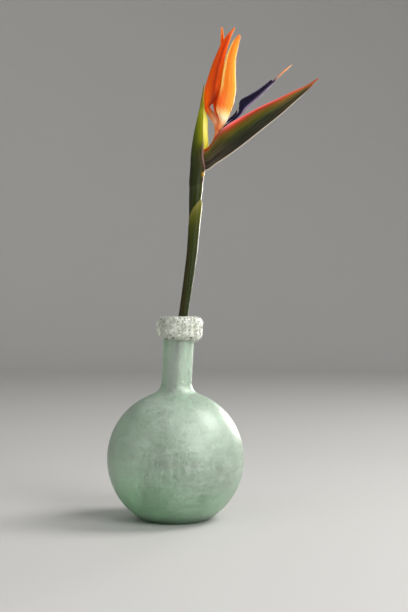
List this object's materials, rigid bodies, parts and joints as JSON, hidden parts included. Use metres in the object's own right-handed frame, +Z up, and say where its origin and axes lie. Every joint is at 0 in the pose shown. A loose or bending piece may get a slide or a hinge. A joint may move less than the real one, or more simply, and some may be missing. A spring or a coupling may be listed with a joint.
{
  "type": "bird of paradise flower in a glass bottle vase",
  "caption": "Cut bird of paradise flower with orange sepals and a blue tongue, leaning in a round-bellied frosted glass bottle vase with a thick pebbled lip.",
  "frame": {"origin": "centre of the flat spot that the vase stands on", "axes": "+Z up, -Y to the front of the vase, +X the way that the flower's beak points"},
  "size_m": [0.2133, 0.1364, 0.5006],
  "materials": {
    "frosted_glass": "frosted pale sea-green recycled glass, satin, with fine streaks",
    "pebbled_glass": "clear to milky glass full of bubbles, pitted and glossy, with a few brown specks",
    "water": "clear still water",
    "stalk_green": "smooth grey-green stalk with fine length-wise ribs",
    "sheath_green": "leathery green bract with a pale rim and a brownish overlapped edge",
    "bract_green": "yellow-green ribbed bract, brighter where it is thin",
    "spathe": "olive green to purple-brown waxy bract with coral red edges and a pale keel",
    "flower_base": "pale pinkish cream fleshy flower base",
    "sepal_orange": "satin orange petal tissue with parallel veins and cream claws",
    "tongue_blue": "deep indigo petal with a pale violet keel",
    "style": "slim waxy style, pale pinkish orange at its sticky tip"
  },
  "bodies": {
    "root": {"vase_bottle": "frosted_glass", "vase_lip_wrap": "pebbled_glass", "water": "water", "stem": "stalk_green", "stem_sheath": "sheath_green", "upper_bract": "bract_green", "spathe": "spathe", "flower_base": "flower_base", "sepal_front": "sepal_orange", "sepal_left": "sepal_orange", "sepal_back": "sepal_orange", "blue_tongue": "tongue_blue", "nectary_petal": "tongue_blue", "style": "style"}
  },
  "joints": []
}
